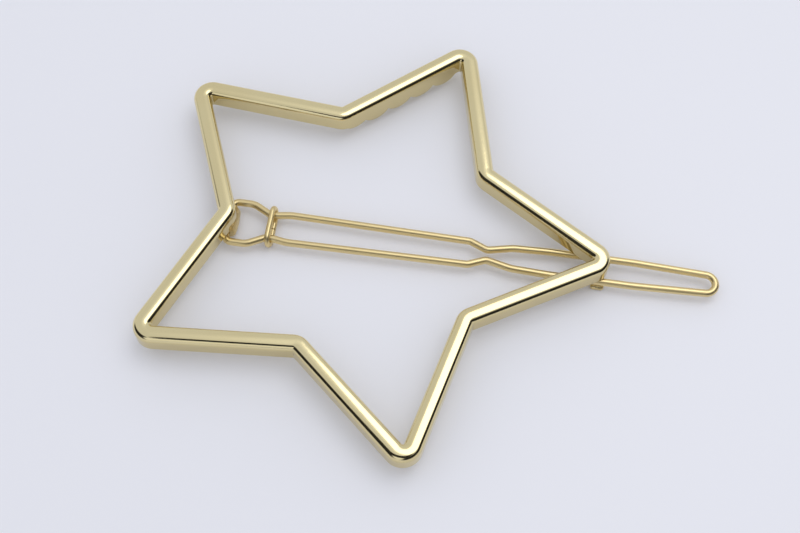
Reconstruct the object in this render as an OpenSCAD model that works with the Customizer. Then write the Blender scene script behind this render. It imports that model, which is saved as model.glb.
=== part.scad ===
// Open star hair clip: a cast five-pointed bar frame with a hinged wire clasp behind it.
// The frame's flat back lies on z = 0, its centre is the origin and its front faces +Z.
// +X runs from the hinge, behind one notch, to the tip that carries the catch.

/* [Star frame] */
// Distance from the centre to the centreline of a tip, as if the corner were sharp
tip_r = 33; // [30:0.5:40]
// Distance from the centre to the centreline of a notch
notch_r = 18.6; // [17:0.1:21]
// Width of the bar, seen from the front
bar_w = 2.4; // [2:0.05:2.6]
// Thickness of the bar, from its flat back to its front
bar_t = 2.8; // [2.4:0.05:3.4]
// Radius of the two long front shoulders of the bar
shoulder_r = 0.6; // [0.3:0.05:0.7]
// Bevel along the edges of the flat back
back_bevel = 0.12; // [0.05:0.01:0.2]
// Inside radius of the bar at every corner
corner_r = 0.2; // [0.1:0.05:0.5]
// How much fuller than the straight bar the corners are cast
corner_swell = 0.02; // [0.01:0.01:0.04]

/* [Gripping teeth] */
// Number of full teeth behind one arm
tooth_count = 4; // [2:1:4]
// Distance between two teeth
tooth_pitch = 3.8; // [3:0.1:4]
// Height of a full tooth behind the back
tooth_h = 1; // [0.6:0.1:1.2]
// Width of the low tooth next to the notch
low_tooth_w = 2.9; // [2:0.1:3]

/* [Wire clasp] */
// Diameter of the spring wire
wire_d = 1; // [0.8:0.05:1.1]
// How much fuller than the straight wire its bends are
bend_swell = 0.02; // [0.01:0.005:0.03]
// Clearance between the frame's back and the wire
wire_gap = 0.2; // [0.1:0.05:0.4]
// Half the spacing of the legs where they bow out beside the hinge
bow_half = 3.1; // [2.9:0.05:3.6]
// Distance from the hinge to the end of the bow
bow_l = 3.1; // [2.9:0.1:3.4]
// Half the spacing of the legs inside the collar
pinch_half = 1.82; // [1.6:0.02:2]
// Half the spacing of the legs just past the collar
flare_half = 2.12; // [2:0.02:2.3]
// Half the spacing of the legs where the waist begins
shoulder_half = 1.78; // [1.7:0.02:1.9]
// Half the spacing of the legs at the waist
waist_half = 0.76; // [0.7:0.02:1]
// Half the spacing of the legs where the waist ends
spring_half = 1.54; // [1.4:0.02:1.7]
// Half the spacing of the legs behind the catch
catch_half = 1.75; // [1.7:0.01:1.9]
// Centreline radius of the loop that joins the legs
loop_r = 1.38; // [1.2:0.02:1.5]
// Length of the waist's steep side
waist_in = 2.4; // [2:0.1:3]
// Length of the waist's shallow side
waist_out = 3.4; // [3:0.1:4.2]
// How far the loop's centreline reaches past the tip's centreline
overhang = 14.3; // [10:0.1:18]

/* [Hinge lug] */
// Outer radius of the lug's barrel at its middle
lug_r = 1.3; // [1.25:0.01:1.35]
// Half the length of the lug
lug_half = 1.8; // [1.6:0.05:1.85]
// How much slimmer the barrel is at its ends
lug_crown = 0.15; // [0.05:0.01:0.2]
// How far the barrel stands off the bore, towards the middle of the star
lug_offset = 0.22; // [0.1:0.01:0.25]
// Radial clearance of the wire in the lug's bore
bore_clear = 0.05; // [0.02:0.01:0.1]
// Gap between the two wire ends inside the lug
end_gap = 0.4; // [0.2:0.1:1]

/* [Catch hook] */
// Size of the hook along the clasp
hook_l = 1.8; // [1.4:0.1:1.8]
// Width of the hook's post between the legs
post_w = 1.5; // [1.2:0.1:1.8]
// Thickness of the hook's foot behind the wire
foot_t = 0.85; // [0.6:0.05:1]
// Clearance between the wire and the hook's foot
foot_clear = 0.06; // [0.04:0.02:0.2]
// How far the foot reaches past the leg that it holds
foot_lip = 0.2; // [0.1:0.02:0.3]

/* [Collar] */
// Diameter of the collar's wire
collar_d = 0.74; // [0.6:0.02:0.84]
// Distance from the hinge to the middle of the collar
collar_at = 6; // [5.8:0.05:6.3]
// Lean of the collar's front towards the hinge, in degrees
collar_lean = 9; // [0:1:12]
// Clearance between the collar and the legs
collar_clear = 0.03; // [0.02:0.01:0.06]
// Gap between the collar's two ends
collar_seam = 0.14; // [0.1:0.02:0.3]

/* [Hidden] */
$fn = 40;

gold = [0.86, 0.72, 0.45];
wire_gold = [0.8, 0.62, 0.3];

// Star: five tips and five notches, half a point apart
points = 5;
half_point = 180/points;
side_l = sqrt(pow(tip_r, 2) + pow(notch_r, 2) - 2*tip_r*notch_r*cos(half_point));
tip_lean = atan2(notch_r*sin(half_point), tip_r - notch_r*cos(half_point));
tip_turn = 180 - 2*tip_lean;
notch_turn = tip_turn - 2*half_point;
bend_r = corner_r + bar_w/2;
tip_cut = bend_r*tan(tip_turn/2);
notch_cut = bend_r*tan(notch_turn/2);
// How far each straight bar runs on inside its corners
weld_l = bar_w/15;
// How deep the lug and the hook are rooted in the bar, and half the lug's root
root_h = bar_t/2;
root_share = 0.6;
lug_root_half = root_share*lug_half;
lug_root_w = root_share*bar_w;

// Side of the lug's barrel: its radius at stations along its length, as shares of half of it
lug_shares = [for (i = [-4:4]) i/4];
lug_side = [for (share = lug_shares) [lug_r - lug_crown*pow(share, 2), share*lug_half]];

// Teeth: arcs of one radius, side by side about the middle of the arm
tooth_r = (pow(tooth_pitch/2, 2) + pow(tooth_h, 2))/(2*tooth_h);
low_tooth_h = tooth_r - sqrt(pow(tooth_r, 2) - pow(low_tooth_w/2, 2));
last_tooth = side_l/2 + tooth_pitch*(tooth_count - 1)/2;

// Clasp: the wire's centreline lies in one plane behind the frame
wire_z = -(wire_gap + wire_d/2);
hinge_x = -(notch_r + corner_r);
clasp_l = tip_r + overhang - hinge_x;
loop_x = hinge_x + clasp_l - loop_r;
elbow_share = 0.2;
elbow_r = bow_half - lug_half - elbow_share*wire_d;
// Places along the clasp, as shares of its length
waist_share = 0.536;
catch_share = 0.665;
tail_share = 0.833;
waist_x = hinge_x + waist_share*clasp_l;
// Places beside the collar, as shares of its own sizes
collar_x = hinge_x + collar_at;
collar_side_share = 0.7;
collar_half_l = collar_side_share*collar_d;
flare_share = 0.4;
// Bend radii, as multiples of the wire
bow_bend = 2.5*wire_d;
pinch_bend = wire_d;
waist_bend = 1.2*wire_d;
soft_bend = 5*wire_d;
long_bend = 20*wire_d;
// How far each straight run of wire goes on inside its bends
wire_weld = wire_d/15;

// Corners of one leg from its end in the lug to the loop, each with its bend radius
leg = [
    [hinge_x, end_gap/2, 0],
    [hinge_x, bow_half, elbow_r],
    [hinge_x + bow_l, bow_half, bow_bend],
    [collar_x - collar_half_l, pinch_half, pinch_bend],
    [collar_x + collar_half_l, pinch_half, bow_bend],
    [collar_x + flare_share*collar_at, flare_half, soft_bend],
    [waist_x - waist_in, shoulder_half, waist_bend],
    [waist_x, waist_half, waist_bend],
    [waist_x + waist_out, spring_half, soft_bend],
    [hinge_x + catch_share*clasp_l, catch_half, long_bend],
    [hinge_x + tail_share*clasp_l, catch_half, long_bend],
    [loop_x, loop_r, 0]
];
leg_last = len(leg) - 1;

// Catch: the hook stands behind the tip, just inside its inner corner
tip_inner = tip_r - bar_w/2/sin(tip_lean);
hook_share = 0.6;
hook_x = tip_inner + hook_share*hook_l;
foot_z = wire_z - wire_d/2 - foot_clear - foot_t;
foot_y = -(catch_half + wire_d/2 + foot_lip);

// Collar: centreline radius of its round ends
collar_r = (wire_d/2 + collar_d/2 + collar_clear)/cos(collar_lean);

// Section of a bar, with x across it and y up from the flat back
module bar_section(width, height) {
    union() {
        polygon([
            [back_bevel - width/2, 0],
            [width/2 - back_bevel, 0],
            [width/2, back_bevel],
            [width/2, height - shoulder_r],
            [-width/2, height - shoulder_r],
            [-width/2, back_bevel]
        ]);
        translate([shoulder_r - width/2, back_bevel])
            square([width - 2*shoulder_r, height - back_bevel]);
        for (side = [-1, 1])
            translate([side*(width/2 - shoulder_r), height - shoulder_r])
                circle(shoulder_r);
    }
}

// Bar bent by an angle about the origin, beginning on the +X axis
module bent_bar(angle) {
    rotate_extrude(angle = angle)
        translate([bend_r, 0])
            bar_section(bar_w + 2*corner_swell, bar_t);
}

// Places its children on an arm that starts at the tip on +X and runs to the notch
module along_arm() {
    translate([tip_r, 0, 0])
        rotate([0, 0, 180 - tip_lean]) children();
}

module star_point() {
    translate([tip_r - bend_r/sin(tip_lean), 0, 0])
        rotate([0, 0, -tip_turn/2]) bent_bar(tip_turn);
    rotate([0, 0, half_point])
        translate([notch_r + bend_r/cos(notch_turn/2), 0, 0])
            rotate([0, 0, 180 - notch_turn/2]) bent_bar(notch_turn);
    for (side = [0, 1])
        mirror([0, side, 0])
            along_arm()
                translate([tip_cut - weld_l, 0, 0])
                    rotate([90, 0, 90])
                        linear_extrude(side_l - tip_cut - notch_cut + 2*weld_l)
                            bar_section(bar_w, bar_t);
}

// Tooth behind a bar that runs along +X: a slice of a round bar laid across it
module tooth(place, width, height) {
    translate([place, 0, 0])
        intersection() {
            translate([0, bar_w/2, tooth_r - height])
                rotate([90, 0, 0]) cylinder(r = tooth_r, h = bar_w);
            translate([-width/2, -bar_w, -height])
                cube([width, 2*bar_w, height + back_bevel]);
        }
}

module teeth() {
    for (i = [0:tooth_count - 1])
        tooth(last_tooth - i*tooth_pitch, tooth_pitch, tooth_h);
    tooth(side_l - low_tooth_w/2, low_tooth_w, low_tooth_h);
}

// Outline of the lug seen from the front: its crowned side, and the other side or its axis
module lug_outline(other_side) {
    polygon(concat(lug_side, [
        for (i = [len(lug_side) - 1:-1:0]) [other_side*lug_side[i][0], lug_side[i][1]]
    ]));
}

// Crowned barrel behind the notch, with the bore that both wire ends turn in
module hinge_lug() {
    translate([hinge_x, 0, 0])
        difference() {
            union() {
                translate([lug_offset, 0, wire_z]) {
                    rotate([-90, 0, 0]) rotate_extrude(angle = 180) lug_outline(0);
                    linear_extrude(-wire_z) lug_outline(-1);
                }
                translate([-lug_root_w/2, -lug_root_half, wire_z])
                    cube([lug_root_w, 2*lug_root_half, root_h - wire_z]);
            }
            translate([0, 2*lug_half, wire_z])
                rotate([90, 0, 0])
                    cylinder(r = wire_d/2 + bore_clear, h = 4*lug_half);
        }
}

// Hook seen along the clasp: a post between the legs and a foot behind one leg
module hook_outline() {
    difference() {
        translate([-post_w/2, foot_z]) square([post_w, root_h - foot_z]);
        translate([post_w/2 - foot_t, foot_z]) square(foot_t);
    }
    translate([post_w/2 - foot_t, foot_z + foot_t]) circle(foot_t);
    translate([foot_y + foot_t/2, foot_z])
        square([-foot_y - foot_t/2, foot_t]);
    translate([foot_y + foot_t/2, foot_z + foot_t/2]) circle(foot_t/2);
}

module catch_hook() {
    translate([hook_x - hook_l/2, 0, 0])
        rotate([90, 0, 90])
            linear_extrude(hook_l) hook_outline();
}

module star_frame() {
    color(gold)
        union() {
            for (i = [0:points - 1])
                rotate([0, 0, 2*half_point*i]) star_point();
            rotate([0, 0, 2*half_point]) along_arm() teeth();
            hinge_lug();
            catch_hook();
        }
}

// Turn of the leg at a corner and the length that its bend takes off each side
function heading(i) = atan2(leg[i + 1][1] - leg[i][1], leg[i + 1][0] - leg[i][0]);
function turn(i) = heading(i) - heading(i - 1);
function cut(i) = i == 0 || i == leg_last ? 0 : leg[i][2]*tan(abs(turn(i))/2);
function weld(i) = i == 0 ? 0 : wire_weld;

// Round section of a bend, beside the axis that it turns about
module bend_section(radius) {
    translate([radius, 0]) circle(d = wire_d + 2*bend_swell);
}

module leg_run(i) {
    run = norm([leg[i + 1][0] - leg[i][0], leg[i + 1][1] - leg[i][1]]);
    translate([leg[i][0], leg[i][1], wire_z])
        rotate([0, 0, heading(i)])
            translate([cut(i) - weld(i), 0, 0])
                rotate([0, 90, 0])
                    cylinder(d = wire_d, h = run - cut(i) - cut(i + 1) + weld(i) + weld(i + 1));
}

module leg_bend(i) {
    side = sign(turn(i));
    start = side > 0 ? -90 : 90 + turn(i);
    translate([leg[i][0], leg[i][1], wire_z])
        rotate([0, 0, heading(i - 1)])
            translate([-cut(i), side*leg[i][2], 0])
                rotate([0, 0, start])
                    rotate_extrude(angle = abs(turn(i))) bend_section(leg[i][2]);
}

module wire_clasp() {
    color(wire_gold)
        union() {
            for (side = [0, 1])
                mirror([0, side, 0]) {
                    for (i = [0:leg_last - 1]) leg_run(i);
                    for (i = [1:leg_last - 1]) leg_bend(i);
                }
            translate([loop_x, 0, wire_z])
                rotate([0, 0, -90])
                    rotate_extrude(angle = 180) bend_section(loop_r);
        }
}

// Flat ring of wire bent round both legs, open at its seam behind them
module collar() {
    color(wire_gold)
        translate([collar_x, 0, wire_z])
            rotate([0, -collar_lean, 0])
                for (side = [0, 1])
                    mirror([0, side, 0])
                        translate([0, pinch_half, 0]) {
                            rotate([90, 0, 90])
                                rotate([0, 0, -90])
                                    rotate_extrude(angle = 180)
                                        translate([collar_r, 0]) circle(d = collar_d);
                            translate([0, 0, collar_r])
                                rotate([90, 0, 0])
                                    cylinder(d = collar_d, h = pinch_half);
                            translate([0, 0, -collar_r])
                                rotate([90, 0, 0])
                                    cylinder(d = collar_d, h = pinch_half - collar_seam/2);
                        }
}

star_frame();
wire_clasp();
collar();
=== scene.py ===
"""Star hair clip: the cast star bar with its teeth, lug and hook, the wire clasp and the collar.

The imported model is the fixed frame. Every piece here takes its place from it, in metres.
"""
from math import acos, atan2, ceil, cos, degrees, pi, radians, sin, sqrt, tan

import bmesh
import bpy
from mathutils import Matrix, Vector


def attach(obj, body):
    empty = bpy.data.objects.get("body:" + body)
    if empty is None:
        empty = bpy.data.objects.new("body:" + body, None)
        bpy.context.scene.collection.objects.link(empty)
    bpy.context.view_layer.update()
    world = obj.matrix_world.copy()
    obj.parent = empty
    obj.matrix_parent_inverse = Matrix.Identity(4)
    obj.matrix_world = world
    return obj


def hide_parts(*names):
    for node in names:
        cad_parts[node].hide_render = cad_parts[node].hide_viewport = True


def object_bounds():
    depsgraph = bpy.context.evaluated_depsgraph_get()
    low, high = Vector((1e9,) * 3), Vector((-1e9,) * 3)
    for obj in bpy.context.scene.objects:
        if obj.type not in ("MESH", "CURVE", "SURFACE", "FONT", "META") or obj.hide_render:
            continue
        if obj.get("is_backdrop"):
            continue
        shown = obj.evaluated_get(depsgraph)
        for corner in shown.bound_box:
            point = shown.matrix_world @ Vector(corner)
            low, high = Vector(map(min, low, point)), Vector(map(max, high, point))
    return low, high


bl_info = {
    "name": "Star hair clip",
    "version": (1, 0, 0),
    "blender": (4, 5, 0),
    "location": "View3D > Sidebar > Hair clip",
    "description": "Builds an open star hair clip with a hinged wire clasp",
    "category": "Add Mesh",
}

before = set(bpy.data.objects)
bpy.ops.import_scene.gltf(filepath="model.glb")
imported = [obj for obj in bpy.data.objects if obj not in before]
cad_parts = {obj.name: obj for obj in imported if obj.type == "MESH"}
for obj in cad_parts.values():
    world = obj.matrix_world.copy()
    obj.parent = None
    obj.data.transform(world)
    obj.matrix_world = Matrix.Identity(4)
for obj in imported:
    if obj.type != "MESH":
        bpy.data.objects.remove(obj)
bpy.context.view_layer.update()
MM = 0.001
STAR_BODY = "star"
CLASP_BODY = "clasp"

# The star's plan: its tips, the degrees from tip to tip, and the bend that starts the toothed arm
TIPS = 5
TIP_STEP = 360 / TIPS
TOOTHED_BEND = 3

# How finely each form is divided
BACK_EDGE_STEPS = 4
SHOULDER_STEPS = 12
CROWN_STEPS = 4
CORNER_STEPS = 28
ARM_STEPS = 18
TOOTHED_ARM_STEPS = 170
SOFT_EDGE_STEPS = 3
LUG_STATIONS = 12
BARREL_STEPS = 24
BORE_STEPS = 32
HOOK_STATIONS = 16
TOE_STEPS = 12
HEEL_STEPS = 10
WIRE_SIDES = 32
WIRE_BEND_STEP = radians(5)
LEAST_BEND_STEPS = 3
LOOP_STEPS = 36
COLLAR_STEPS = 24


# Sizes, colours and levels

def length(name, text, default):
    """A length property that starts at default millimetres."""
    return bpy.props.FloatProperty(
        name=name, description=text, default=default * MM, min=0.0, unit="LENGTH", precision=5
    )


def colour(name, text, default):
    return bpy.props.FloatVectorProperty(
        name=name, description=text, default=default, size=3, min=0.0, max=1.0, subtype="COLOR"
    )


def level(name, text, default):
    return bpy.props.FloatProperty(name=name, description=text, default=default, min=0.0)


class BarSizes(bpy.types.PropertyGroup):
    """The cast star: its path, its section and its teeth."""

    tip_radius: length("Tip radius", "Centre to the centreline of a tip, unrounded", 33)
    notch_radius: length("Notch radius", "Centre to the centreline of a notch", 18.6)
    corner_radius: length("Corner radius", "Inside radius of the bar at a corner", 0.2)
    width: length("Bar width", "Width of the bar seen from the front", 2.4)
    thickness: length("Bar thickness", "From the flat back to the crown", 2.8)
    shoulder: length("Shoulder width", "Width of each of the two front shoulders", 0.62)
    shoulder_drop: length("Shoulder drop", "How far the shoulders reach down the walls", 0.95)
    crown: length("Crown", "How much higher the middle of the front is than its sides", 0.055)
    back_edge: length("Back edge radius", "Radius of the edges of the flat back", 0.12)
    tooth_pitch: length("Tooth pitch", "Distance between two teeth", 3.8)
    tooth_height: length("Tooth height", "Height of a full tooth behind the back", 1.0)
    low_tooth: length("Low tooth width", "Width of the low tooth beside the notch", 2.9)
    tooth_count: bpy.props.IntProperty(
        name="Full teeth", description="Number of full teeth", default=4, min=1, max=5
    )


class WireSizes(bpy.types.PropertyGroup):
    """The wire clasp, the collar and what carries them."""

    diameter: length("Wire diameter", "Diameter of the clasp's wire", 1.0)
    gap: length("Gap", "Clearance between the frame's back and the wire", 0.2)
    hinge: length("Hinge distance", "From the star's centre to the hinge axis", 18.8)
    reach: length("Reach", "From the star's centre to the loop's centreline", 47.3)
    bow: length("Bow", "Half the spacing of the legs where they bow out beside the hinge", 3.1)
    pinch: length("Pinch", "Half the spacing of the legs inside the collar", 1.82)
    catch: length("Catch", "Half the spacing of the legs behind the catch", 1.75)
    loop: length("Loop radius", "Centreline radius of the loop that joins the legs", 1.38)
    lug_radius: length("Lug radius", "Outer radius of the lug's barrel at its middle", 1.3)
    lug_half: length("Half lug", "Half the length of the lug", 1.8)
    lug_crown: length("Lug crown", "How much slimmer the barrel is at its ends", 0.15)
    lug_offset: length("Lug offset", "How far the barrel stands off its bore", 0.22)
    bore_clearance: length("Bore clearance", "Radial clearance of the wire in the lug", 0.05)
    hook_length: length("Hook length", "Size of the hook along the clasp", 1.8)
    hook_width: length("Hook post width", "Width of the post between the legs", 1.5)
    foot: length("Foot thickness", "Thickness of the hook's foot", 0.85)
    foot_gap: length("Foot gap", "Clearance between the wire and the hook's foot", 0.06)
    foot_lip: length("Foot lip", "How far the foot reaches past its leg", 0.2)
    collar_diameter: length("Collar wire", "Diameter of the collar's wire", 0.74)
    collar_place: length("Collar place", "From the hinge to the collar's middle", 6.0)
    collar_seam: length("Collar seam", "Gap between the collar's two ends", 0.14)
    collar_lean: bpy.props.FloatProperty(
        name="Collar lean", description="Lean of the collar's front towards the hinge",
        default=radians(9), subtype="ANGLE",
    )


class Finish(bpy.types.PropertyGroup):
    """Colours of the plating, its painted shade on the walls and the lug, the floor and the room.
    """

    casting: colour("Casting", "Pale gold plating of the cast frame", (0.87, 0.755, 0.425))
    casting_deep: colour(
        "Casting, deep", "Richer gold where the plating is thicker", (0.83, 0.685, 0.345)
    )
    # Painted shade: a darker, deeper gold for the upright walls, standing in for the shaded floor
    # they reflect
    wall_shade: colour("Casting, walls", "Deep gold of the upright walls", (0.71, 0.60, 0.325))
    # Painted shade: a darker copy of the casting's gold for the lug and the hook, which lie in
    # shade behind the star
    shaded_lug_casting: colour("Casting, lug", "Gold of the lug and the hook", (0.73, 0.58, 0.28))
    wire: colour("Wire", "Gold plating of the spring wire", (0.66, 0.515, 0.21))
    wire_deep: colour("Wire, deep", "Richer gold in the wire's patches", (0.56, 0.39, 0.135))
    floor: colour("Floor", "Colour of the plain floor", (0.85, 0.85, 0.87))
    room: colour("Room", "Colour of the room and its light", (0.90, 0.92, 1.0))


class Stage(bpy.types.PropertyGroup):
    """The camera's lens and the levels of the lamp and the room."""

    lens: bpy.props.FloatProperty(
        name="Lens", description="Focal length on a 36 mm sensor", default=55.264, min=1.0
    )
    key: level("Key", "Brightness of the lamp above the far right side", 1.15)
    ambient: level("Ambient", "Brightness of the room as it lights the clip", 0.86)
    backdrop: level("Backdrop", "Brightness of the room as it is seen", 0.7)


# Mesh helpers

MERGE_DISTANCE = 1e-7


def arc(cx, cz, r, start, end, steps):
    """Points of an arc from start to end degrees, both included."""
    return [
        (cx + r * cos(radians(start + (end - start) * i / steps)),
         cz + r * sin(radians(start + (end - start) * i / steps)))
        for i in range(steps + 1)
    ]


def object_from(name, verts, edges=(), faces=()):
    mesh = bpy.data.meshes.new(name)
    mesh.from_pydata(verts, edges, faces)
    mesh.validate()
    obj = bpy.data.objects.new(name, mesh)
    bpy.context.scene.collection.objects.link(obj)
    return obj


def settle(obj):
    """Leaves what obj's modifiers make as its plain mesh."""
    bpy.context.view_layer.update()
    made = obj.evaluated_get(bpy.context.evaluated_depsgraph_get())
    mesh = bpy.data.meshes.new_from_object(made)
    obj.modifiers.clear()
    obj.data = mesh
    mesh.name = obj.name


def recalculate(mesh):
    """Merges doubles and turns every face outwards."""
    bm = bmesh.new()
    bm.from_mesh(mesh)
    bmesh.ops.remove_doubles(bm, verts=bm.verts, dist=MERGE_DISTANCE)
    bmesh.ops.recalc_face_normals(bm, faces=bm.faces)
    bm.to_mesh(mesh)
    bm.free()


def finish_piece(obj, node, body, material):
    obj.data.materials.clear()
    obj.data.materials.append(material)
    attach(obj, body)
    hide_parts(node)


# Node helpers

def new_tree(name, **sockets):
    tree = bpy.data.node_groups.new(name, "GeometryNodeTree")
    tree.is_modifier = True
    for way in ("INPUT", "OUTPUT"):
        tree.interface.new_socket("Geometry", in_out=way, socket_type="NodeSocketGeometry")
    for label, kind in sockets.items():
        tree.interface.new_socket(
            label.replace("_", " "), in_out="INPUT", socket_type="NodeSocket" + kind
        )
    return tree, tree.nodes.new("NodeGroupInput"), tree.nodes.new("NodeGroupOutput")


def add(tree, kind, inputs=None, **settings):
    """A node with its settings, and its inputs linked to sockets or set to values."""
    node = tree.nodes.new(kind)
    for key, value in settings.items():
        setattr(node, key, value)
    for key, value in (inputs or {}).items():
        if isinstance(value, bpy.types.NodeSocket):
            tree.links.new(value, node.inputs[key])
        else:
            node.inputs[key].default_value = value
    return node


def calculate(tree, operation, *values):
    """The result of one sum on sockets or numbers."""
    inputs = dict(enumerate(values))
    return add(tree, "ShaderNodeMath", inputs, operation=operation).outputs[0]


def same(tree, first, second):
    """1 where two whole numbers are the same, else 0."""
    return calculate(tree, "COMPARE", first, second, 0.5)


def remap(tree, value, start, full, low=0.0, high=1.0, interpolation="LINEAR"):
    """Carries a value's range from start to full over to low to high."""
    return add(tree, "ShaderNodeMapRange", {
        "Value": value, "From Min": start, "From Max": full, "To Min": low, "To Max": high,
    }, interpolation_type=interpolation).outputs[0]


def noise(tree, place, scale, detail):
    return add(tree, "ShaderNodeTexNoise", {
        "Vector": place, "Scale": scale, "Detail": detail,
    }).outputs["Fac"]


def mix_levels(tree, share, first, second):
    return add(tree, "ShaderNodeMix", {
        "Factor": share, 2: first, 3: second,
    }, data_type="FLOAT").outputs[0]


def mix_colours(tree, share, first, second):
    return add(tree, "ShaderNodeMix", {
        "Factor": share, 6: first, 7: second,
    }, data_type="RGBA").outputs[2]


def end_tree(tree, given, result, geometry):
    """Ends a tree in plain faces that carry the given material."""
    real = add(tree, "GeometryNodeRealizeInstances", {"Geometry": geometry})
    painted = add(tree, "GeometryNodeSetMaterial", {
        "Geometry": real.outputs[0], "Material": given.outputs["Material"],
    })
    tree.links.new(painted.outputs[0], result.inputs[0])
    return tree


def grow(obj, tree, **values):
    """Runs a tree on obj with these inputs and leaves the result as obj's plain mesh."""
    modifier = obj.modifiers.new(tree.name, "NODES")
    modifier.node_group = tree
    sockets = {s.name: s.identifier for s in tree.interface.items_tree if s.in_out == "INPUT"}
    for label, value in values.items():
        modifier[sockets[label.replace("_", " ")]] = value
    settle(obj)
    recalculate(obj.data)
    obj.data.shade_smooth()


# The star's bar

# Rounds in which the shoulder's oval settles against the crown
OVAL_ROUNDS = 8
# The back's own points: how high they lie in back edges, and how far out in bar widths
BACK_REACH = 1.1
SIDE_REACH = 0.51


def bar_outline(bar):
    """The bar's section, across it and up from its back, counter-clockwise."""
    half = bar.width / 2
    edge = bar.back_edge
    support = edge / 3
    crown_half = half - bar.shoulder
    crown_r = (crown_half ** 2 + bar.crown ** 2) / (2 * bar.crown)
    lean = acos(1 - bar.crown / crown_r)
    # The shoulder is a quarter of an oval that runs into the crown without a crease
    wide, tall = bar.shoulder, bar.shoulder_drop
    for _ in range(OVAL_ROUNDS):
        end = atan2(tall, wide * tan(lean))
        wide = bar.shoulder / (1 - cos(end))
    shoulder_z = bar.thickness - bar.crown - tall * sin(end)
    right = [(half - edge - support, 0.0)]
    right += arc(half - edge, edge, edge, -90, 0, BACK_EDGE_STEPS)
    right += [(half, edge + support), (half, shoulder_z - support)]
    for i in range(SHOULDER_STEPS + 1):
        turn = end * i / SHOULDER_STEPS
        right.append((half - wide + wide * cos(turn), shoulder_z + tall * sin(turn)))
    right += arc(
        0.0, bar.thickness - crown_r, crown_r, 90 - degrees(lean), 90, CROWN_STEPS
    )[1:]
    left = [(-x, z) for x, z in reversed(right[:-1])]
    return right + left


def star_tree():
    """The bar's section carried round a star whose corners are rounded."""
    tree, given, result = new_tree(
        "BarRoundStar", Tip_radius="Float", Notch_radius="Float", Bend_radius="Float",
        Bend_steps="Int", Arm_steps="Int", Toothed_arm_steps="Int", Section="Object",
        Material="Material",
    )
    star = add(tree, "GeometryNodeCurveStar", {
        "Points": TIPS, "Inner Radius": given.outputs["Notch radius"],
        "Outer Radius": given.outputs["Tip radius"], "Twist": 0.0,
    })
    bent = add(tree, "GeometryNodeFilletCurve", {
        "Curve": star.outputs["Curve"], "Count": given.outputs["Bend steps"],
        "Radius": given.outputs["Bend radius"],
    }, mode="POLY")
    # The last point of each bend starts a straight arm, and that of one bend the toothed arm
    index = add(tree, "GeometryNodeInputIndex").outputs[0]
    stride = calculate(tree, "ADD", given.outputs["Bend steps"], 1)
    place = calculate(tree, "MODULO", index, stride)
    starts = same(tree, place, given.outputs["Bend steps"])
    last = calculate(tree, "MULTIPLY_ADD", stride, TOOTHED_BEND, -1)
    toothed = same(tree, index, last)
    plain_cuts = calculate(tree, "MULTIPLY", starts, given.outputs["Arm steps"])
    cuts = calculate(
        tree, "MULTIPLY_ADD", toothed, given.outputs["Toothed arm steps"], plain_cuts
    )
    stations = add(tree, "GeometryNodeSubdivideCurve", {"Curve": bent.outputs[0], "Cuts": cuts})
    upright = add(
        tree, "GeometryNodeSetCurveNormal", {"Curve": stations.outputs[0]}, mode="Z_UP"
    )
    section = add(tree, "GeometryNodeObjectInfo", {"Object": given.outputs["Section"]})
    outline = add(tree, "GeometryNodeMeshToCurve", {"Mesh": section.outputs["Geometry"]})
    bar = add(tree, "GeometryNodeCurveToMesh", {
        "Curve": upright.outputs[0], "Profile Curve": outline.outputs[0],
    })
    return end_tree(tree, given, result, bar.outputs[0])


def tooth_depth(bar, arm_length, s):
    """How far the back is carried down at a distance s from the toothed arm's tip."""
    pitch, height, low = bar.tooth_pitch, bar.tooth_height, bar.low_tooth
    r = ((pitch / 2) ** 2 + height ** 2) / (2 * height)
    first = arm_length / 2 - pitch * (bar.tooth_count - 1) / 2
    start, end = first - pitch / 2, first + pitch * (bar.tooth_count - 0.5)
    if start <= s <= end:
        x = (s - start) % pitch - pitch / 2
        return sqrt(r * r - x * x) - (r - height)
    x = s - (arm_length - low / 2)
    if abs(x) < low / 2:
        return sqrt(r * r - x * x) - sqrt(r * r - (low / 2) ** 2)
    return 0.0


def star_corner(radius, turn):
    """A corner of the star's centreline at an angle in degrees, unrounded."""
    return Vector((cos(radians(turn)), sin(radians(turn)), 0)) * radius


def cut_teeth(obj, bar):
    """Carries the back of one arm down into its row of teeth."""
    tip = star_corner(bar.tip_radius, TIP_STEP)
    notch = star_corner(bar.notch_radius, 1.5 * TIP_STEP)
    along = (notch - tip).normalized()
    across = Vector((-along.y, along.x, 0))
    arm_length = (notch - tip).length
    for vert in obj.data.vertices:
        offset = vert.co - tip
        above = vert.co.z > BACK_REACH * bar.back_edge
        beside = abs(offset.dot(across)) > SIDE_REACH * bar.width
        if not above and not beside:
            vert.co.z -= tooth_depth(bar, arm_length, offset.dot(along))


class HAIRCLIP_OT_star_bar(bpy.types.Operator):
    """Bends the bar round the star and forms the teeth behind one arm"""

    bl_idname = "hairclip.star_bar"
    bl_label = "Star bar"

    def execute(self, context):
        bar = context.scene.hairclip_bar
        gold = casting_gold(context)
        outline = bar_outline(bar)
        count = len(outline)
        section = object_from(
            "section", [(x, -z, 0) for x, z in outline],
            [(i, (i + 1) % count) for i in range(count)],
        )
        piece = object_from("star_bar", [(0, 0, 0)])
        grow(
            piece, star_tree(), Tip_radius=bar.tip_radius, Notch_radius=bar.notch_radius,
            Bend_radius=bar.corner_radius + bar.width / 2, Bend_steps=CORNER_STEPS,
            Arm_steps=ARM_STEPS, Toothed_arm_steps=TOOTHED_ARM_STEPS, Section=section,
            Material=gold,
        )
        bpy.data.objects.remove(section)
        cut_teeth(piece, bar)
        finish_piece(piece, "star_frame", STAR_BODY, gold)
        return {"FINISHED"}


# Lug and hook

# How far up the bar's wall each one runs, in bar thicknesses
LUG_ROOT = 0.55
HOOK_ROOT = 0.25
# How much narrower the lug's upper half is at its ends, and the softness of its edges
LUG_TAPER = 0.4
LUG_EDGE = 0.12 * MM
SHARP_ANGLE = radians(40)
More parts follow.
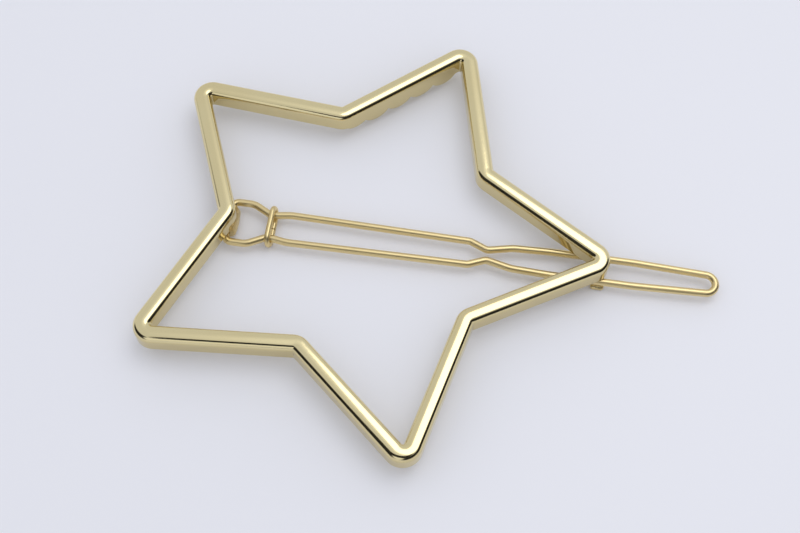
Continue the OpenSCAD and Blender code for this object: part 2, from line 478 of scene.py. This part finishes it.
# The hook's middle past the tip's inside corner in hook lengths, and its edge in foot thicknesses
HOOK_PLACE = 0.6
HOOK_EDGE = 0.45


def wire_level(wire):
    """Height of the wire's centreline, behind the frame's back."""
    return -(wire.gap + wire.diameter / 2)


def tip_lean(bar):
    """Half the angle between the two arms of a tip."""
    half_step = radians(TIP_STEP / 2)
    across = bar.notch_radius * sin(half_step)
    return atan2(across, bar.tip_radius - bar.notch_radius * cos(half_step))


def loft(name, shells):
    """A closed block through rings of points; the first shell is its outside, another a hole."""
    bm = bmesh.new()
    rows = [[[bm.verts.new(point) for point in ring] for ring in shell] for shell in shells]
    for shell in rows:
        for first, second in zip(shell, shell[1:]):
            for i in range(len(first)):
                j = (i + 1) % len(first)
                bm.faces.new((first[i], first[j], second[j], second[i]))
    for end in (0, -1):
        rims = [shell[end] for shell in rows]
        edges = [
            bm.edges.get((rim[i], rim[(i + 1) % len(rim)])) for rim in rims for i in range(len(rim))
        ]
        bmesh.ops.triangle_fill(bm, use_beauty=True, use_dissolve=True, edges=edges)
    bmesh.ops.recalc_face_normals(bm, faces=bm.faces)
    obj = object_from(name, [])
    bm.to_mesh(obj.data)
    bm.free()
    return obj


def soften(obj, width):
    """Rounds the sharp edges of a block and leaves a plain mesh."""
    bevel = obj.modifiers.new("Bevel", "BEVEL")
    bevel.width = width
    bevel.segments = SOFT_EDGE_STEPS
    bevel.limit_method = "ANGLE"
    bevel.angle_limit = SHARP_ANGLE
    weighted = obj.modifiers.new("Weighted", "WEIGHTED_NORMAL")
    weighted.keep_sharp = True
    obj.data.shade_smooth()
    settle(obj)


def crowned_lug(wire, root):
    """The barrel behind the notch, with its bore; its upper half runs up the notch's wall."""
    z = wire_level(wire)
    middle = -wire.hinge + wire.lug_offset
    hole = arc(-wire.hinge, z, wire.diameter / 2 + wire.bore_clearance, 0, 360, BORE_STEPS)[:-1]
    outside, bore = [], []
    for i in range(LUG_STATIONS + 1):
        share = 2 * i / LUG_STATIONS - 1
        y = share * wire.lug_half
        r = wire.lug_radius - wire.lug_crown * share ** 2
        ring = arc(middle, z, r, -180, 0, BARREL_STEPS)
        for step in range(1, BARREL_STEPS):
            turn = pi * step / BARREL_STEPS
            rise = sin(turn)
            across = r * cos(turn) * (1 - LUG_TAPER * share ** 2 * rise)
            ring.append((middle + across, z + (root - z) * rise))
        outside.append([(x, y, up) for x, up in ring])
        bore.append([(x, y, up) for x, up in hole])
    return loft("hinge_lug", [outside, bore])


def rounded_hook(bar, wire, root):
    """The post behind the tip and its foot under one leg, rounded off along the clasp."""
    inside_corner = bar.tip_radius - bar.width / 2 / sin(tip_lean(bar))
    x = inside_corner + HOOK_PLACE * wire.hook_length
    half, t, long = wire.hook_width / 2, wire.foot, wire.hook_length / 2
    low = wire_level(wire) - wire.diameter / 2 - wire.foot_gap - t
    end = -(wire.catch + wire.diameter / 2 + wire.foot_lip)
    edge = HOOK_EDGE * t
    rings = []
    for i in range(HOOK_STATIONS + 1):
        turn = radians(-90 + 180 * i / HOOK_STATIONS)
        side = 1 if turn > 0 else -1
        place = side * (long - edge) + edge * sin(turn)
        inset = edge * (1 - cos(turn))
        ring = [(-half + inset, root), (-half + inset, low + t - inset)]
        ring += arc(end + t / 2, low + t / 2, t / 2 - inset, 90, 270, TOE_STEPS)
        ring += arc(half - t, low + t, t - inset, -90, 0, HEEL_STEPS)
        ring += [(half - inset, root)]
        rings.append([(x + place, y, up) for y, up in ring])
    return loft("catch_hook", [rings])


class HAIRCLIP_OT_lug_and_hook(bpy.types.Operator):
    """Adds the hinge lug and the catch hook behind the star"""

    bl_idname = "hairclip.lug_and_hook"
    bl_label = "Lug and hook"

    def execute(self, context):
        bar, wire = context.scene.hairclip_bar, context.scene.hairclip_wire
        # The lug and the hook take the casting's gold darkened with painted shade
        gold = lug_gold(context)
        lug = crowned_lug(wire, LUG_ROOT * bar.thickness)
        soften(lug, LUG_EDGE)
        finish_piece(lug, "star_frame", STAR_BODY, gold)
        hook = rounded_hook(bar, wire, HOOK_ROOT * bar.thickness)
        hook.data.shade_smooth()
        finish_piece(hook, "star_frame", STAR_BODY, gold)
        return {"FINISHED"}


# The wire clasp and the collar

# One leg. The wire's end, from the clasp's middle line, and the straight bow beside the hinge
PIN_START = 0.2 * MM
BOW_LENGTH = 3.1 * MM
# The bends on either side of the collar, from its middle in collar wires
COLLAR_HOLD = 0.7
# Past the collar the legs spread: where, in collar places, and half their spacing there
SPREAD_PLACE = 0.4
SPREAD = 2.12 * MM
# The waist: its place in clasp lengths, its half spacing, and where it starts and ends
WAIST_PLACE = 0.536
WAIST = 0.76 * MM
WAIST_START, BEFORE_WAIST = 2.4 * MM, 1.78 * MM
WAIST_END, AFTER_WAIST = 3.4 * MM, 1.54 * MM
# The straight length behind the catch, in clasp lengths
CATCH_START, CATCH_END = 0.665, 0.833
# Bend radii, in wire diameters
COLLAR_BEND, WAIST_BEND, BOW_BEND, EASY_BEND, SLIGHT_BEND = 1, 1.2, 2.5, 5, 20
# What the wire's end keeps clear of the lug, in wire diameters
LUG_CLEARANCE = 0.2
# Turns below this, in radians, leave the wire straight
LEAST_TURN = 1e-4
# Between the collar and the legs that it holds
COLLAR_CLEARANCE = 0.03 * MM


def bent_path(corners):
    """A polyline through corners (x, y, bend radius), each corner rounded by an arc."""
    points = [Vector(corners[0][:2])]
    for before, here, after in zip(corners, corners[1:], corners[2:]):
        a, b, c = (Vector(p[:2]) for p in (before, here, after))
        come, go = (b - a).normalized(), (c - b).normalized()
        turn = come.angle_signed(go)
        if abs(turn) < LEAST_TURN:
            points.append(b)
            continue
        cut = here[2] * tan(abs(turn) / 2)
        side = -1 if turn > 0 else 1
        centre = b - come * cut + Vector((-come.y, come.x)) * here[2] * side
        spoke = b - come * cut - centre
        steps = max(LEAST_BEND_STEPS, ceil(abs(turn) / WIRE_BEND_STEP))
        for i in range(steps + 1):
            points.append(centre + Matrix.Rotation(-turn * i / steps, 2) @ spoke)
    points.append(Vector(corners[-1][:2]))
    return points


def leg_corners(wire):
    """Corners of one leg from its end in the lug to the loop: x, y and bend radius."""
    d = wire.diameter
    hinge, collar = -wire.hinge, -wire.hinge + wire.collar_place
    total = wire.reach + wire.hinge
    beside = COLLAR_HOLD * wire.collar_diameter
    waist = hinge + WAIST_PLACE * total
    return [
        (hinge, PIN_START, 0),
        (hinge, wire.bow, wire.bow - wire.lug_half - LUG_CLEARANCE * d),
        (hinge + BOW_LENGTH, wire.bow, BOW_BEND * d),
        (collar - beside, wire.pinch, COLLAR_BEND * d),
        (collar + beside, wire.pinch, BOW_BEND * d),
        (collar + SPREAD_PLACE * wire.collar_place, SPREAD, EASY_BEND * d),
        (waist - WAIST_START, BEFORE_WAIST, WAIST_BEND * d),
        (waist, WAIST, WAIST_BEND * d),
        (waist + WAIST_END, AFTER_WAIST, EASY_BEND * d),
        (hinge + CATCH_START * total, wire.catch, SLIGHT_BEND * d),
        (hinge + CATCH_END * total, wire.catch, SLIGHT_BEND * d),
        (wire.reach - wire.loop, wire.loop, 0),
    ]


def wire_tree():
    """A round wire along a path: used by the clasp and the collar."""
    name = "WireAlongPath"
    made = bpy.data.node_groups.get(name)
    if made:
        return made
    tree, given, result = new_tree(name, Wire_radius="Float", Sides="Int", Material="Material")
    path = add(tree, "GeometryNodeMeshToCurve", {"Mesh": given.outputs["Geometry"]})
    ring = add(tree, "GeometryNodeCurvePrimitiveCircle", {
        "Radius": given.outputs["Wire radius"], "Resolution": given.outputs["Sides"],
    }, mode="RADIUS")
    wire = add(tree, "GeometryNodeCurveToMesh", {
        "Curve": path.outputs[0], "Profile Curve": ring.outputs[0], "Fill Caps": True,
    })
    return end_tree(tree, given, result, wire.outputs[0])


def bend_wire(name, path, diameter, gold):
    """A wire with closed ends along a chain of points."""
    piece = object_from(name, path, [(i, i + 1) for i in range(len(path) - 1)])
    grow(piece, wire_tree(), Wire_radius=diameter / 2, Sides=WIRE_SIDES, Material=gold)
    return piece


class HAIRCLIP_OT_wire_clasp(bpy.types.Operator):
    """Bends the clasp's wire along its path, from one end in the lug to the other"""

    bl_idname = "hairclip.wire_clasp"
    bl_label = "Wire clasp"

    def execute(self, context):
        wire = context.scene.hairclip_wire
        gold = wire_gold(context)
        z = wire_level(wire)
        leg = [(p.x, p.y) for p in bent_path(leg_corners(wire))]
        loop_x, loop_r = leg[-1]
        loop = arc(loop_x, 0.0, loop_r, 90, -90, LOOP_STEPS)[1:-1]
        path = leg + loop + [(x, -y) for x, y in reversed(leg)]
        piece = bend_wire("clasp_wire", [(x, y, z) for x, y in path], wire.diameter, gold)
        finish_piece(piece, "wire_clasp", CLASP_BODY, gold)
        return {"FINISHED"}


class HAIRCLIP_OT_collar(bpy.types.Operator):
    """Wraps the collar's short wire round both legs"""

    bl_idname = "hairclip.collar"
    bl_label = "Collar"

    def execute(self, context):
        wire = context.scene.hairclip_wire
        gold = wire_gold(context)
        lean = wire.collar_lean
        r = (wire.diameter / 2 + wire.collar_diameter / 2 + COLLAR_CLEARANCE) / cos(lean)
        half, seam = wire.pinch, wire.collar_seam / 2
        path = [(-seam, -r)] + arc(-half, 0, r, -90, -270, COLLAR_STEPS)
        path += arc(half, 0, r, 90, -90, COLLAR_STEPS) + [(seam, -r)]
        middle = (wire.collar_place - wire.hinge, 0, wire_level(wire))
        place = Matrix.Translation(middle) @ Matrix.Rotation(-lean, 4, "Y")
        path = [place @ Vector((0, y, height)) for y, height in path]
        piece = bend_wire("collar_wire", path, wire.collar_diameter, gold)
        finish_piece(piece, "collar", CLASP_BODY, gold)
        return {"FINISHED"}


# Finishes

# Roughness of the polished plating, and of the casting behind the star
POLISHED, DULL = 0.1, 0.3
# Scale of the fine polish on the casting and on the wire
CASTING_GRAIN, WIRE_GRAIN = 2600.0, 4200.0
# The slow change of tone: its scale, the part of its noise that counts and how far it goes
TONE_SCALE = 90.0
TONE_NOISE = (0.45, 0.8)
TONE_SHARE = 0.5
# Upward lean of a surface at which the painted wall shade fades out, from fully there to not at all
WALL_SHADE_LEAN = (0.1, 0.7)
# The part of the fine noise that counts, and how it changes the roughness
POLISH_NOISE = (0.3, 0.7)
POLISH_CHANGE = (0.8, 1.3)
# The faint waviness: its length in grains, its strength and its depth
WAVE_LENGTH = 4
WAVE_STRENGTH = 0.04
WAVE_DEPTH = 0.1 * MM


def gold_material(name, base, deep, roughness, grain, wall=None):
    """Polished plating: a slow change of tone, a fine polish and a faint waviness.

    A casting also gets painted shade on its upright walls: a deeper, darker tone there.
    """
    material = bpy.data.materials.get(name)
    if material:
        return material
    material = bpy.data.materials.new(name)
    material.use_nodes = True
    tree = material.node_tree
    shader = tree.nodes["Principled BSDF"]
    shader.inputs["Metallic"].default_value = 1.0
    surface = add(tree, "ShaderNodeTexCoord")
    place = surface.outputs["Object"]
    slow = noise(tree, place, TONE_SCALE, detail=2.0)
    spread = remap(tree, slow, *TONE_NOISE, high=TONE_SHARE)
    tone = mix_colours(tree, spread, (*base, 1), (*deep, 1))
    if wall:
        # Painted shade: upright faces mix towards the darker wall gold, tops keep the plain tone
        facing = add(tree, "ShaderNodeSeparateXYZ", {0: surface.outputs["Normal"]})
        free_of_wall_shade = remap(tree, facing.outputs["Z"], *WALL_SHADE_LEAN, interpolation="SMOOTHSTEP")
        tone = mix_colours(tree, free_of_wall_shade, (*wall, 1), tone)
    tree.links.new(tone, shader.inputs["Base Color"])
    fine = noise(tree, place, grain, detail=3.0)
    least, most = (roughness * change for change in POLISH_CHANGE)
    polish = remap(tree, fine, *POLISH_NOISE, low=least, high=most)
    tree.links.new(polish, shader.inputs["Roughness"])
    waves = noise(tree, place, grain / WAVE_LENGTH, detail=1.0)
    bump = add(tree, "ShaderNodeBump", {
        "Height": waves, "Strength": WAVE_STRENGTH, "Distance": WAVE_DEPTH,
    })
    tree.links.new(bump.outputs[0], shader.inputs["Normal"])
    return material


def casting_gold(context):
    look = context.scene.hairclip_finish
    # The casting's material carries painted shade on its upright walls
    return gold_material(
        "casting_gold", look.casting, look.casting_deep, POLISHED, CASTING_GRAIN,
        look.wall_shade,
    )


def lug_gold(context):
    """The casting's gold behind the star, darkened with painted shade, and less polished there."""
    look = context.scene.hairclip_finish
    return gold_material("lug_gold", look.shaded_lug_casting, look.casting_deep, DULL, CASTING_GRAIN)


def wire_gold(context):
    look = context.scene.hairclip_finish
    return gold_material("wire_gold", look.wire, look.wire_deep, POLISHED, WIRE_GRAIN)


# Stage

# The floor reaches this far each way, in metres
FLOOR_REACH = 2.0
FLOOR_ROUGHNESS = 0.5
# The lamp: its azimuth and elevation in degrees, and its distance and size in metres
KEY_PLACE = (48, 68, 0.45)
KEY_SIZE = 0.32
# Two opposite corners of the dark card, and its finish
CARD_LOW = Vector((-40, -100, 70)) * MM
CARD_HIGH = Vector((50, -36, 76)) * MM
CARD_BLACK = (0.012, 0.011, 0.01)
CARD_ROUGHNESS = 0.9
# Parts of the room as the metal sees them: azimuth, elevation, inner and outer radius, level
ROOM_PATCHES = (
    (42, 68, 17, 32, 1.0),
    (-45, 5, 38, 56, 0.02),
    (2, 18, 22, 36, 0.02),
    (-150, 16, 33, 46, 0.02),
    (-102, 24, 12, 28, 0.85),
)
# From the star's front to the camera's own axes, which point right, down and ahead:
# the turn as its axis times its angle, and then the shift
CAMERA_TURN = Vector((2.653885, 0.195198, -0.034770))
CAMERA_SHIFT = Vector((-4.785054, -5.346776, 163.175944)) * MM
SENSOR_WIDTH = 36
NEAR_CLIP = 0.005


def toward(azimuth, elevation, distance):
    """A place at this distance from the clip, azimuth 0 at +X and 90 at +Y, in degrees."""
    around, up = radians(azimuth), radians(elevation)
    across = distance * cos(up)
    return Vector((across * cos(around), across * sin(around), distance * sin(up)))


def plain_material(name, base, roughness):
    material = bpy.data.materials.new(name)
    material.use_nodes = True
    shader = material.node_tree.nodes["Principled BSDF"]
    shader.inputs["Base Color"].default_value = (*base, 1)
    shader.inputs["Roughness"].default_value = roughness
    return material


def flat_sheet(name, low, high, material):
    """A rectangle between two opposite corners, level from left to right."""
    (x0, y0, z0), (x1, y1, z1) = low, high
    corners = [(x0, y0, z0), (x1, y0, z0), (x1, y1, z1), (x0, y1, z1)]
    sheet = object_from(name, corners, [], [(0, 1, 2, 3)])
    sheet.data.materials.append(material)
    return sheet


def plain_floor(ground, colour_of_floor):
    material = plain_material("pale_floor", colour_of_floor, FLOOR_ROUGHNESS)
    floor = flat_sheet(
        "floor", (-FLOOR_REACH, -FLOOR_REACH, ground), (FLOOR_REACH, FLOOR_REACH, ground), material
    )
    floor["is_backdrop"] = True


def dark_card():
    """A dark card over the near side, which only the metal sees."""
    material = plain_material("black_card", CARD_BLACK, CARD_ROUGHNESS)
    card = flat_sheet("dark_card", CARD_LOW, CARD_HIGH, material)
    card.visible_camera = card.visible_diffuse = card.visible_shadow = False
    card.visible_transmission = False
    card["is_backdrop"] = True


def softbox(name, azimuth, elevation, distance, size, brightness):
    """A round soft lamp that faces the clip and looks this bright in its metal."""
    data = bpy.data.lights.new(name, "AREA")
    data.shape = "DISK"
    data.size = size
    data.energy = brightness * pi * pi * (size / 2) ** 2
    obj = bpy.data.objects.new(name, data)
    obj.location = toward(azimuth, elevation, distance)
    obj.rotation_euler = (-obj.location).to_track_quat("-Z", "Y").to_euler()
    bpy.context.scene.collection.objects.link(obj)


def patch(tree, way, room, azimuth, elevation, inner, outer, value):
    """Changes the room's level to value within inner degrees of a direction, softly to outer."""
    near = add(tree, "ShaderNodeVectorMath", {
        0: way, 1: toward(azimuth, elevation, 1.0),
    }, operation="DOT_PRODUCT")
    cover = remap(
        tree, near.outputs["Value"], cos(radians(outer)), cos(radians(inner)),
        interpolation="SMOOTHSTEP",
    )
    return mix_levels(tree, cover, room, value)


def surroundings(scene, stage, room_colour):
    """A pale room: one level as it is seen, also in the metal, and one as it lights the clip."""
    world = scene.world or bpy.data.worlds.new("surroundings")
    scene.world = world
    world.use_nodes = True
    tree = world.node_tree
    tree.nodes.clear()
    rays = add(tree, "ShaderNodeLightPath").outputs
    way = add(tree, "ShaderNodeTexCoord").outputs["Generated"]
    room = stage.backdrop
    for place in ROOM_PATCHES:
        room = patch(tree, way, room, *place)
    metal = calculate(tree, "MAXIMUM", rays["Is Glossy Ray"], rays["Is Transmission Ray"])
    seen = calculate(tree, "MAXIMUM", rays["Is Camera Ray"], metal)
    shown = mix_levels(tree, rays["Is Camera Ray"], room, stage.backdrop)
    strength = mix_levels(tree, seen, stage.ambient, shown)
    sky = add(tree, "ShaderNodeBackground", {"Color": (*room_colour, 1), "Strength": strength})
    add(tree, "ShaderNodeOutputWorld", {"Surface": sky.outputs[0]})


def place_camera(scene, lens):
    """A camera that sees the star's front from the photograph's angle."""
    camera = bpy.data.objects.new("camera", bpy.data.cameras.new("camera"))
    camera.data.lens = lens
    camera.data.sensor_width = SENSOR_WIDTH
    camera.data.sensor_fit = "HORIZONTAL"
    camera.data.clip_start = NEAR_CLIP
    view = Matrix.Rotation(CAMERA_TURN.length, 3, CAMERA_TURN.normalized())
    front = Vector((0, 0, scene.hairclip_bar.thickness))
    place = -(view.transposed() @ CAMERA_SHIFT) + front
    axes = view.transposed() @ Matrix.Diagonal((1, -1, -1))
    camera.matrix_world = Matrix.Translation(place) @ axes.to_4x4()
    scene.collection.objects.link(camera)
    scene.camera = camera


class HAIRCLIP_OT_stage(bpy.types.Operator):
    """Sets the floor, the lamp, the card, the surroundings and the camera"""

    bl_idname = "hairclip.stage"
    bl_label = "Stage"

    def execute(self, context):
        scene = context.scene
        stage, look = scene.hairclip_stage, scene.hairclip_finish
        low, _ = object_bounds()
        plain_floor(low[2], look.floor)
        softbox("key_lamp", *KEY_PLACE, KEY_SIZE, stage.key)
        dark_card()
        surroundings(scene, stage, look.room)
        place_camera(scene, stage.lens)
        scene.view_settings.view_transform = "Standard"
        return {"FINISHED"}


class HAIRCLIP_PT_pieces(bpy.types.Panel):
    """The clip's sizes and the operators that build it."""

    bl_idname = "HAIRCLIP_PT_pieces"
    bl_label = "Star hair clip"
    bl_space_type = "VIEW_3D"
    bl_region_type = "UI"
    bl_category = "Hair clip"

    def draw(self, context):
        for key, group in GROUPS.items():
            box = self.layout.box()
            for value in group.__annotations__:
                box.prop(getattr(context.scene, key), value)
        for operator in OPERATORS:
            self.layout.operator(operator.bl_idname)


GROUPS = {
    "hairclip_bar": BarSizes,
    "hairclip_wire": WireSizes,
    "hairclip_finish": Finish,
    "hairclip_stage": Stage,
}
OPERATORS = (
    HAIRCLIP_OT_star_bar, HAIRCLIP_OT_lug_and_hook, HAIRCLIP_OT_wire_clasp, HAIRCLIP_OT_collar,
    HAIRCLIP_OT_stage,
)
CLASSES = (*GROUPS.values(), *OPERATORS, HAIRCLIP_PT_pieces)


def register():
    for cls in CLASSES:
        bpy.utils.register_class(cls)
    for key, group in GROUPS.items():
        setattr(bpy.types.Scene, key, bpy.props.PointerProperty(type=group))


def unregister():
    for key in GROUPS:
        delattr(bpy.types.Scene, key)
    for cls in reversed(CLASSES):
        bpy.utils.unregister_class(cls)


def main():
    register()
    bpy.ops.hairclip.star_bar()
    bpy.ops.hairclip.lug_and_hook()
    bpy.ops.hairclip.wire_clasp()
    bpy.ops.hairclip.collar()
    bpy.ops.hairclip.stage()


if __name__ == "__main__":
    main()
